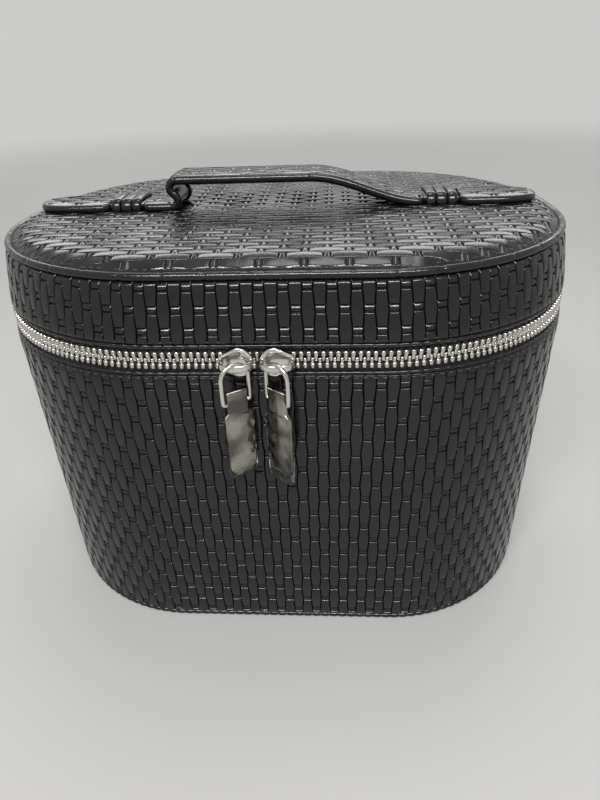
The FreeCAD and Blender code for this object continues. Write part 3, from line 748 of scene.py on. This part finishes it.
def path_frame(path, distance):
    """Place and directions across and up, at a distance along an upright path."""
    for (x1, z1), (x2, z2) in zip(path, path[1:]):
        run = math.hypot(x2 - x1, z2 - z1)
        if distance <= run or (x2, z2) == path[-1]:
            break
        distance -= run
    share = distance / run
    place = Vector((x1 + (x2 - x1) * share, 0.0, z1 + (z2 - z1) * share))
    return place, Vector((0, 1, 0)), Vector(((z1 - z2) / run, 0.0, (x2 - x1) / run))


def path_length(path):
    """Length of a path."""
    return sum(math.hypot(b[0] - a[0], b[1] - a[1]) for a, b in zip(path, path[1:]))


ROLL_RADIUS = 1.75
ROLL_PLACE = STRAP_HALF - ROLL_RADIUS
WEB_COLUMNS = 5
WEB_PITCH = 2 * (ROLL_PLACE - 0.2) / WEB_COLUMNS
WEB_RISE = 1.2
WEB_DOME = 0.5
WEB_BELOW = 0.75
WEB_RELIEF = 0.8
NECK_SHARE = 0.72
NECK_SHOULDER = 2.5


def strap_narrowing(x):
    """Share of its width that the strap keeps under a keeper."""
    share = min(max((NECK_INNER - abs(x)) / NECK_SHOULDER, 0.0), 1.0)
    return NECK_SHARE + (1 - NECK_SHARE) * math.sqrt(1 - (1 - share) ** 2)


def strap_stretch(name, path, start, riding, node):
    """A stretch of strap: a woven web, plain below, with a fat smooth roll along each edge."""
    length = path_length(path)
    half = WEB_COLUMNS / 2
    bm = bmesh.new()
    for vert, _, _, phase, across, relief in woven_grid(bm, row_phases(length, start), WEB_COLUMNS):
        place, side, up = path_frame(path, (phase - start) * WEAVE_PERIOD)
        lateral = min(max(across - half, -half), half) * WEB_PITCH
        lift = WEB_RISE + WEB_DOME * (1 - (lateral / ROLL_PLACE) ** 2) + relief * WEB_RELIEF
        vert.co = place + side * lateral * strap_narrowing(place.x) + up * lift
    steps = max(12, round(length / 0.6))
    frames = [path_frame(path, length * step / steps) for step in range(steps + 1)]
    for vert, (row, edge) in grid(bm, steps, 1).items():
        place, side, up = frames[row]
        vert.co = place + side * ((2 * edge - 1) * ROLL_PLACE * strap_narrowing(place.x)) - up * WEB_BELOW
    close_up(bm)
    keep_flats(bm)
    pieces = [finish_piece(f"{name}_web", bm, WOVEN, None, node)]
    for label, edge in (("front", -1), ("rear", 1)):
        roll = []
        for place, side, up in frames:
            roll.append((place + side * (edge * ROLL_PLACE * strap_narrowing(place.x)), side, up))
        bm = swept(roll, rounded(ROLL_RADIUS, ROLL_RADIUS, 1.0, 14))
        pieces.append(finish_piece(f"{name}_{label}_roll", bm, SMOOTH, None))
    for piece in pieces:
        riding(piece)


LEAF_START = NECK_OUTER + 0.8
LEAF_SHOULDER = 4.0
LEAF_STRAIGHT = 11.0
LEAF_END = TAB_REACH - ROLL_RADIUS
LEAF_NECK = 7.0
LEAF_FULLNESS = 0.42
LEAF_TIP = 1.2
LEAF_EDGE = 1.4
LEAF_PHASE = 0.1
# Section of a tab's neck: half width, half thickness and fullness
TAB_NECK = (8.4, 1.25, 0.35)


def leaf_half(reach):
    """Half width of a leaf, to the middle of its roll, at a distance from the lid's middle."""
    nose = LEAF_START + LEAF_SHOULDER + LEAF_STRAIGHT
    if reach < LEAF_START + LEAF_SHOULDER:
        share = max(reach - LEAF_START, 0.0) / LEAF_SHOULDER
        return LEAF_NECK + (ROLL_PLACE - LEAF_NECK) * math.sqrt(1 - (1 - share) ** 2)
    if reach < nose:
        return ROLL_PLACE
    share = min((reach - nose) / (LEAF_END - nose), 1.0)
    return ROLL_PLACE * (1 - share**2) ** LEAF_FULLNESS


def strap_tab(label, side):
    """A strap end: a woven leaf with a fat smooth roll round it, and the neck under the keeper."""
    phases = row_phases(LEAF_END - LEAF_TIP - LEAF_START, LEAF_PHASE)
    bm = bmesh.new()
    for vert, _, _, phase, across, relief in woven_grid(bm, phases, WEB_COLUMNS):
        reach = LEAF_START + (phase - LEAF_PHASE) * WEAVE_PERIOD
        half = leaf_half(reach)
        y = min(max((across - WEB_COLUMNS / 2) * WEB_PITCH, -half), half)
        dome = WEB_DOME * (1 - (y / ROLL_PLACE) ** 2)
        kept = min(1.0, (half - abs(y)) / 1.5 + 0.1)
        vert.co = (side * reach, y, STRAP_HEIGHT + WEB_RISE + dome + relief * kept)
    close_up(bm, 0.02)
    turn_down(bm, LEAF_EDGE)
    keep_flats(bm)
    finish_piece(f"strap_{label}_leaf", bm, WOVEN, "lid", f"strap_{label}_tab")
    edge = []
    for step in range(61):
        reach = LEAF_START + (LEAF_END - LEAF_START) * (1 - (1 - step / 60) ** 2)
        edge.append((side * reach, leaf_half(reach), STRAP_HEIGHT))
    around = edge + [(x, -y, z) for x, y, z in reversed(edge[:-1])]
    tube(f"strap_{label}_leaf_roll", around, ROLL_RADIUS, SMOOTH, "lid", sides=4)
    ends = sorted((side * (NECK_INNER - 0.5), side * (LEAF_START + 3.0)))
    neck = straight_path(*ends, STRAP_HEIGHT)
    frames = [path_frame(neck, distance) for distance in (0.0, 5.0, 10.0, abs(ends[1] - ends[0]))]
    finish_piece(f"strap_{label}_neck", swept(frames, rounded(*TAB_NECK)), SMOOTH, "lid")


KEEPER_TOP = STRAP_HEIGHT + 2.5
KEEPER_HALF = 9.7
KEEPER_CORNER = 3.0
KEEPER_FOOT = LID_TOP + 0.1
# Half width and half thickness of each band
KEEPER_BANDS = ((1.9, 1.05), (2.2, 0.95), (1.9, 1.05))
MIDDLE_BAND = 2


def keeper(label, side):
    """The leather loop over the strap's neck: three rolled bands side by side."""
    corner = KEEPER_HALF - KEEPER_CORNER
    level = KEEPER_TOP - KEEPER_CORNER
    path = [(-KEEPER_HALF, KEEPER_FOOT)]
    path += arc_points((-corner, level), KEEPER_CORNER, math.pi, math.pi / 2, 10)
    path += [(y, KEEPER_TOP + 0.25 * math.cos(y / 4.3)) for y in (-4.0, 0.0, 4.0)]
    path += arc_points((corner, level), KEEPER_CORNER, math.pi / 2, 0.0, 10)
    path.append((KEEPER_HALF, KEEPER_FOOT))
    for number, (half_width, half_thick) in enumerate(KEEPER_BANDS, 1):
        x = side * KEEPER_REACH + (number - MIDDLE_BAND) * KEEPER_PITCH
        frames = []
        for place, heading in headed([(x, *here) for here in path]):
            frames.append((place, Vector((1, 0, 0)), Vector((0.0, -heading.z, heading.y))))
        bm = swept(frames, rounded(half_width, half_thick))
        node = f"keeper_{label}" if number == MIDDLE_BAND else None
        finish_piece(f"keeper_{label}_band_{number}", bm, SMOOTH, "lid", node)


def strap_handle():
    """The strap from tab to tab, with its S on the left and its slope on the right."""
    for label, side in (("left", -1), ("right", 1)):
        strap_tab(label, side)
        keeper(label, side)
    fold = fold_path()
    slope = slope_path(GRIP_END, NECK_INNER)
    level = straight_path(-NECK_INNER, -FOLD_REACH, STRAP_HEIGHT)
    grip = straight_path(fold[-1][0], GRIP_END, GRIP_HEIGHT)
    on_lid = lambda piece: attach(piece, "lid")
    on_grip = lambda piece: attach(piece, "handle_grip")
    on_fold = lambda piece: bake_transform(piece)
    on_slope = lambda piece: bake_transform(piece)
    phase = 0.2
    stretches = (
        ("strap_level", level, on_lid, "strap_left_end"),
        ("strap_fold", fold, on_fold, "strap_left_fold"),
        ("strap_grip", grip, on_grip, "strap_grip"),
        ("strap_slope", slope, on_slope, "strap_right_run"),
    )
    for name, path, riding, node in stretches:
        strap_stretch(name, path, phase, riding, node)
        phase += path_length(path) / WEAVE_PERIOD


# Zipper

def tooth_row(name, body, node, up, offset):
    """One row of cast teeth, each with a base on the tape and a head that meshes with the other row."""
    plan = case_plan(ZIP_HEIGHT, CHAIN_INSET)
    bm = bmesh.new()
    for step in range(-TEETH_EACH_WAY, TEETH_EACH_WAY + (0 if offset else 1)):
        place, normal = plan_point(plan, (step + offset) * TOOTH_PITCH)
        heading = Vector((-normal.y, normal.x, 0.0))
        turn = Matrix((heading, -normal, Vector((0, 0, 1)))).transposed().to_4x4()
        spot = Matrix.Translation(place + Vector((0, 0, ZIP_HEIGHT))) @ turn
        for size, centre in TOOTH_BLOCKS:
            made = bmesh.ops.create_cube(bm, size=1.0)
            local = Matrix.Translation((0, 0, -centre if up else centre)) @ Matrix.Diagonal((*size, 1.0))
            bmesh.ops.transform(bm, matrix=spot @ local, verts=made["verts"])
    bevel_edges(bm, bm.edges[:], 0.3, 1)
    finish_piece(name, bm, TEETH, body, node)


def tape_sheet(name, low, high, body, node):
    """The zipper's woven tape."""
    bm = wall_sheet(300, even_levels(low, high, 4, CHAIN_INSET))
    bmesh.ops.solidify(bm, geom=bm.faces[:], thickness=0.5)
    finish_piece(name, bm, TAPE, body, node)


SLIDER_HALF = 5.9
SLIDER_NOSE = 5.4
SLIDER_TAIL = 2.8
WEDGE = ((1.4, -0.25), (5.4, -0.25), (5.4, 0.25), (1.4, 0.25))
# Front and back plate and wedge of a slider: front, back, rounding and hollow
FRONT_PLATE = (0.05, -1.45, 0.45, 0.55)
BACK_PLATE = (4.85, 3.65, 0.4)
WEDGE_PLATE = (3.7, 0.0, 0.05)
BRIDGE_HALF = 5.2
BRIDGE_SECTION = (1.25, 0.7)


def pear_outline(facing):
    """Edge of a slider's plate: a round nose and a narrow tail."""
    centre = SLIDER_HALF - SLIDER_NOSE
    angles = [math.pi * step / 24 for step in range(25)]
    points = [(centre + SLIDER_NOSE * math.sin(a), SLIDER_NOSE * math.cos(a)) for a in angles]
    points += [(-SLIDER_HALF + 0.8, -SLIDER_TAIL), (-SLIDER_HALF, -SLIDER_TAIL + 0.9)]
    points += [(-SLIDER_HALF, SLIDER_TAIL - 0.9), (-SLIDER_HALF + 0.8, SLIDER_TAIL)]
    return [(facing * x, z) for x, z in points]


def plate(edge, front, back, round_off, dish=0.0):
    """A flat upright plate between two depths, with rounded edges and a hollow in its front face."""
    bm = slab([(x, front, z) for x, z in edge], Vector((0, back - front, 0)), round_off, 3)
    if dish:
        face = max((f for f in bm.faces if f.normal.y < -0.99), key=lambda f: f.calc_area())
        bmesh.ops.inset_region(bm, faces=[face], thickness=0.5, depth=0.0)
        bmesh.ops.inset_region(bm, faces=[face], thickness=0.5, depth=-dish)
    return bm


def slider_piece(side):
    """A cast slider: a dished front plate, a back plate, the wedge between, and an arched bridge."""
    x, _, facing = SLIDERS[side]
    edge = pear_outline(facing)
    wedge = [(facing * a, b) for a, b in WEDGE]
    whole = bmesh.new()
    for outline, measures in ((edge, FRONT_PLATE), (edge, BACK_PLATE), (wedge, WEDGE_PLATE)):
        bm = plate(outline, *measures)
        bmesh.ops.translate(bm, vec=(x, -RIM_PLAN[1], ZIP_HEIGHT), verts=bm.verts)
        part = to_mesh(bm, "plate")
        whole.from_mesh(part)
        bpy.data.meshes.remove(part)
    body = f"slider_{side}"
    finish_piece(f"{body}_plates", whole, NICKEL, body, body, crisp=True)
    path = []
    for step in range(29):
        angle = math.pi * step / 28
        out = 1.0 + (BRIDGE_REACH - 1.0) * math.sin(angle) ** 0.5
        path.append((x + BRIDGE_HALF * math.cos(angle), -RIM_PLAN[1] - out, ZIP_HEIGHT))
    up = Vector((0, 0, 1))
    frames = [(place, up, heading.cross(up)) for place, heading in headed(path)]
    finish_piece(f"{body}_bridge", swept(frames, rounded(*BRIDGE_SECTION)), NICKEL, body)


def pull_frame(side):
    """Matrix from a pull's own plane, centred on the bridge, to the case."""
    x, yaw, _ = SLIDERS[side]
    place = Matrix.Translation((x, -RIM_PLAN[1] - BRIDGE_REACH, ZIP_HEIGHT))
    return place @ Matrix.Rotation(math.radians(yaw), 4, "Z")


def bail_piece(side):
    """The wire loop between slider and pull, its ends turned in as pins."""
    turn = pull_frame(side)
    half = BAIL_HALF
    bend = 0.8 + WIRE_RADIUS - half
    right = [(half, bend - 2), (half, 3 - PIN_DROP), (half, 0.6 - PIN_DROP), (half - 0.5, -PIN_DROP)]
    right.append((half - 2.6, -PIN_DROP))
    points = [(-x, z) for x, z in reversed(right)] + arc_points((0, bend), half, math.pi, 0, 24) + right
    placed = [turn @ Vector((x, 0.0, z)) for x, z in points]
    body = f"bail_{side}"
    tube(f"{body}_wire", placed, WIRE_RADIUS, NICKEL, body, body, sides=4)


def pull_piece(side):
    """The flat metal tab: a neck between the bail's legs, shoulders, a chamfered foot and soft edges."""
    neck = PULL_NECK_HALF
    right = [(neck, PULL_TOP), (neck, PULL_SHOULDER + 1.0), (PULL_HALF, PULL_SHOULDER)]
    right += [(PULL_HALF, PULL_FOOT + PULL_CHAMFER), (PULL_FOOT_HALF, PULL_FOOT)]
    bm = plate(right + [(-x, z) for x, z in reversed(right)], 1.0, -1.0, 0.45)
    bmesh.ops.transform(bm, matrix=pull_frame(side), verts=bm.verts)
    body = f"pull_{side}"
    finish_piece(f"{body}_tab", bm, PULL_METAL, body, body, crisp=True)


def film_piece(side, seed):
    """Clear film round the tab, crinkled, longer than the metal and pressed flat at its foot."""
    rows, around = 40, 48
    top = PULL_SHOULDER - 0.1
    foot = PULL_FOOT - FILM_END[side]
    bm = bmesh.new()
    for vert, (step, row) in grid(bm, around, rows).items():
        angle = 2 * math.pi * step / around
        share = row / rows
        height = foot + (top - foot) * share
        loose = max(0.0, (PULL_FOOT - height) / FILM_END[side])
        # Two sets of creases that cross
        crease = 0.28 * math.sin(11 * share + 3 * math.cos(angle) + seed) * math.sin(5 * angle + 17 * share)
        crease += 0.12 * math.sin(23 * share - 7 * math.cos(angle) + 2 * seed)
        wide = FILM_HALF * swell(math.cos(angle), 0.35) * (1.0 - 0.14 * loose)
        deep = FILM_DEPTH * swell(math.sin(angle), 0.6) * (1.0 - 0.75 * loose)
        vert.co = (wide, deep + crease * (0.7 + 0.3 * loose), height)
    close_up(bm)
    bmesh.ops.transform(bm, matrix=pull_frame(side), verts=bm.verts)
    finish_piece(f"film_{side}_wrap", bm, FILM, f"pull_{side}", f"film_{side}")


def zipper():
    """Chain, tapes, sliders and pulls."""
    tooth_row("zip_teeth_below", "case", "zip_teeth_lower", False, 0.0)
    tooth_row("zip_teeth_above", "lid", "zip_teeth_upper", True, 0.5)
    tape_sheet("zip_tape_below", ZIP_HEIGHT - TAPE_REACH, ZIP_HEIGHT - TAPE_GAP, "case", "zip_tape_lower")
    tape_sheet("zip_tape_above", ZIP_HEIGHT + TAPE_GAP, ZIP_HEIGHT + TAPE_REACH, "lid", "zip_tape_upper")
    for side, seed in (("left", 0.4), ("right", 2.1)):
        slider_piece(side)
        bail_piece(side)
        pull_piece(side)
        film_piece(side, seed)


# Back, base and inside

HINGE_RISE = 14.0
HINGE_CORNER = 6.0
HINGE_EDGE = 1.2
HINGE_PROUD = 1.35
HINGE_SWELL = 0.25
HINGE_SEAM = 2.6
HINGE_LINING_INSET = 6.0
RIM_SEAM = 5.7
RIM_LEVEL = 5.58
RIM_TURN = 2.6
LINING_INSET = 5.2


def hinge_joint(piece):
    """Fixes a piece of the hinge between case and lid in place, its transform baked into its mesh."""
    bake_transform(piece)


def hinge_belly(height):
    """Depth of the hinge leather's outer face at a height."""
    swelling = HINGE_SWELL * math.cos(math.pi * (height - ZIP_HEIGHT) / (2 * HINGE_RISE))
    return case_plan(height)[1] + HINGE_PROUD + swelling


def hinge_border(inset):
    """Points round the hinge strip's rounded outline, set in by a distance."""
    radius = HINGE_CORNER - inset
    wide, high = HINGE_HALF - HINGE_CORNER, HINGE_RISE - HINGE_CORNER
    points = []
    for quarter, (x, z) in enumerate(((wide, high), (-wide, high), (-wide, -high), (wide, -high))):
        start = quarter * math.pi / 2
        points += arc_points((x, ZIP_HEIGHT + z), radius, start, start + math.pi / 2, 8)
    return points + points[:1]


def hinge_cover():
    """The stitched leather strip behind that joins lid and case, and its lining."""
    columns, levels = 48, 28
    bm = bmesh.new()
    for vert, (step, row) in grid(bm, columns, levels).items():
        rise = HINGE_RISE * math.sin(math.pi * (row / levels - 0.5))
        bend = max(abs(rise) - (HINGE_RISE - HINGE_CORNER), 0.0)
        wide = HINGE_HALF - HINGE_CORNER + math.sqrt(HINGE_CORNER**2 - bend**2)
        across = math.sin(math.pi * (step / columns - 0.5))
        edge = min(wide * (1 - abs(across)), HINGE_RISE - abs(rise))
        drop = 1.0 - math.sqrt(1.0 - (1.0 - min(edge / HINGE_EDGE, 1.0)) ** 2)
        height = ZIP_HEIGHT + rise
        vert.co = (wide * across, hinge_belly(height) - drop * HINGE_EDGE, height)
    thicken(bm, 0.4)
    hinge_joint(finish_piece("hinge_leather", bm, SMOOTH, None, "hinge_strip"))
    border = hinge_border(HINGE_SEAM)
    stations = []
    for step in range(round(path_length(border) / STITCH_PITCH)):
        place, _, up = path_frame(border, step * STITCH_PITCH)
        heading = Vector((up.z, 0.0, -up.x))
        stations.append((Vector((place.x, hinge_belly(place.z), place.z)), heading, Vector((0, 1, 0))))
    hinge_joint(stitch_line("hinge_stitches", stations, None))
    bm = bmesh.new()
    for vert, (step, row) in grid(bm, columns, levels).items():
        height = ZIP_HEIGHT + HINGE_RISE * (2 * row / levels - 1)
        vert.co = (HINGE_HALF * (2 * step / columns - 1), case_plan(height)[1] - HINGE_LINING_INSET, height)
    thicken(bm, 0.5)
    hinge_joint(finish_piece("hinge_fabric", bm, LINING, None, "hinge_lining"))


def level_sheet(name, plan, height, thick, round_off, material, body, node):
    """A flat sheet with rounded edges and the case's plan."""
    length = plan_length(plan)
    corners = [plan_point(plan, length * step / 160)[0] + Vector((0, 0, height)) for step in range(160)]
    bm = slab(corners, Vector((0, 0, thick)), round_off, 2)
    finish_piece(name, bm, material, body, node, smooth=False)


def lining_wall(name, low, high, body, node):
    """Lining fabric down a wall, slightly puckered."""
    bm = wall_sheet(240, even_levels(low, high, 14, LINING_INSET), 0.12)
    thicken(bm, -0.4)
    finish_piece(name, bm, LINING, body, node)


def rim_fabric(name, rim, fall, body):
    """Lining turned over a wall's rim, from the zipper's tape to a hem inside."""
    levels = ((rim, 2.45), (rim, LINING_INSET), (rim + fall * 0.12, 5.75), (rim + fall, 5.75))
    finish_piece(name, wall_sheet(240, levels), LINING, body)


def inside_and_base():
    """The leather base and the fabric lining of case and lid."""
    # Flat sheets: plan, height, thickness, rounding and material
    base = (case_plan(0, 2.35), 0.0, 1.2, 0.4, SMOOTH)
    floor = (case_plan(4.0, 4.7), 4.0, 0.8, 0.3, LINING)
    ceiling = (case_plan(158.0, 4.7), 158.1, 0.8, 0.3, LINING)
    level_sheet("base_leather", *base, "case", "base_cover")
    level_sheet("floor_fabric", *floor, "case", "base_lining")
    level_sheet("lid_fabric", *ceiling, "lid", "lid_top_lining")
    lining_wall("case_wall_fabric", 4.95, ZIP_HEIGHT - RIM_SEAM, "case", "body_lining")
    lining_wall("lid_wall_fabric", ZIP_HEIGHT + RIM_SEAM, 157.95, "lid", "lid_band_lining")
    rim_fabric("case_rim_fabric", ZIP_HEIGHT - RIM_LEVEL, -RIM_TURN, "case")
    rim_fabric("lid_rim_fabric", ZIP_HEIGHT + RIM_LEVEL, RIM_TURN, "lid")
    finishes = {"board": BOARD, "foam": FOAM, "pad": FOAM, "stops": TEETH}
    for name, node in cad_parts.items():
        for word, material in finishes.items():
            if word in name:
                node.data.materials.clear()
                node.data.materials.append(material)


# Studio

PALE = (0.98, 0.97, 0.95, 1.0)
UNSEEN_STRENGTH = 0.22
SEEN_STRENGTH = 0.62
FLOOR_FADE = (0.45, 2.2)
FLOOR_HALF = 40.0


def seen_strength(tree, target):
    """Feeds an input one light strength for what is seen, and one for what lights the case."""
    rays = add_node(tree, "LightPath")
    viewed = rays.outputs["Is Camera Ray"]
    for kind in ("Is Glossy Ray", "Is Transmission Ray"):
        either = add_node(tree, "Math", operation="MAXIMUM")
        tree.links.new(viewed, either.inputs[0])
        tree.links.new(rays.outputs[kind], either.inputs[1])
        viewed = either.outputs["Value"]
    strength = add_node(tree, "MapRange", {"To Min": UNSEEN_STRENGTH, "To Max": SEEN_STRENGTH})
    tree.links.new(viewed, strength.inputs["Value"])
    tree.links.new(strength.outputs["Result"], target)


def pale_floor():
    """A wide pale floor that melts into the surround away from the case."""
    material, tree, shader = new_material("studio_floor", (0.45, 0.445, 0.435), 0.6)
    ramp(shader, noise(tree, 3.0), (0.435, 0.43, 0.42), (0.465, 0.46, 0.45))
    glow = add_node(tree, "Emission", {"Color": PALE})
    seen_strength(tree, glow.inputs["Strength"])
    reach = add_node(tree, "VectorMath", operation="LENGTH")
    tree.links.new(add_node(tree, "TexCoord").outputs["Object"], reach.inputs[0])
    near, far = FLOOR_FADE
    fade = add_node(tree, "MapRange", {"From Min": near, "From Max": far}, interpolation_type="SMOOTHSTEP")
    tree.links.new(reach.outputs["Value"], fade.inputs["Value"])
    blend = add_node(tree, "MixShader")
    tree.links.new(fade.outputs["Result"], blend.inputs["Fac"])
    tree.links.new(shader.outputs["BSDF"], blend.inputs[1])
    tree.links.new(glow.outputs["Emission"], blend.inputs[2])
    tree.links.new(blend.outputs["Shader"], tree.nodes["Material Output"].inputs["Surface"])
    bm = bmesh.new()
    bmesh.ops.create_grid(bm, x_segments=1, y_segments=1, size=FLOOR_HALF)
    floor = place_object("studio_floor", to_mesh(bm, "studio_floor"))
    floor.data.materials.append(material)


# Soft lamps: name, place, aim, width and height of the pane, power
LAMPS = (
    ("overhead", (0.05, 0.25, 1.2), (0.0, 0.0, 0.1), (0.45, 0.45), 3.0),
    ("window", (0.0, 1.3, 0.85), (0.0, 0.0, 0.15), (2.4, 0.3), 8.0),
    ("key", (0.0, -0.9, 1.15), (0.0, 0.0, 0.1), (1.2, 0.16), 25.0),
)


def studio():
    """A pale surround, the floor and three soft lamps."""
    world = bpy.data.worlds.new("studio_world")
    bpy.context.scene.world = world
    world.use_nodes = True
    background = world.node_tree.nodes["Background"]
    background.inputs["Color"].default_value = PALE
    seen_strength(world.node_tree, background.inputs["Strength"])
    pale_floor()
    for name, place, aim, size, power in LAMPS:
        lamp = bpy.data.lights.new(name, "AREA")
        lamp.shape = "RECTANGLE"
        lamp.size, lamp.size_y = size
        lamp.energy = power
        holder = place_object(name, lamp)
        holder.location = place
        holder.rotation_euler = (Vector(aim) - Vector(place)).to_track_quat("-Z", "Y").to_euler()
    bpy.context.scene.view_settings.view_transform = "Standard"


CAMERA_PLACE = Vector((0.0230, -0.2660, 0.2240))
CAMERA_AIM = Vector((-0.0614, 0.8583, -0.5095))
CAMERA_ROLL = math.radians(-2.19)
CAMERA_LENS = 26.55


def camera():
    """The camera where the photograph was taken from."""
    data = bpy.data.cameras.new("camera")
    data.lens = CAMERA_LENS
    data.sensor_fit = "VERTICAL"
    data.sensor_height = 36.0
    data.clip_start = 0.01
    holder = place_object("camera", data)
    turn = CAMERA_AIM.to_track_quat("-Z", "Y").to_matrix().to_4x4() @ Matrix.Rotation(CAMERA_ROLL, 4, "Z")
    holder.matrix_world = Matrix.Translation(CAMERA_PLACE) @ turn
    bpy.context.scene.camera = holder


leather_shell()
strap_handle()
zipper()
hinge_cover()
inside_and_base()
studio()
camera()
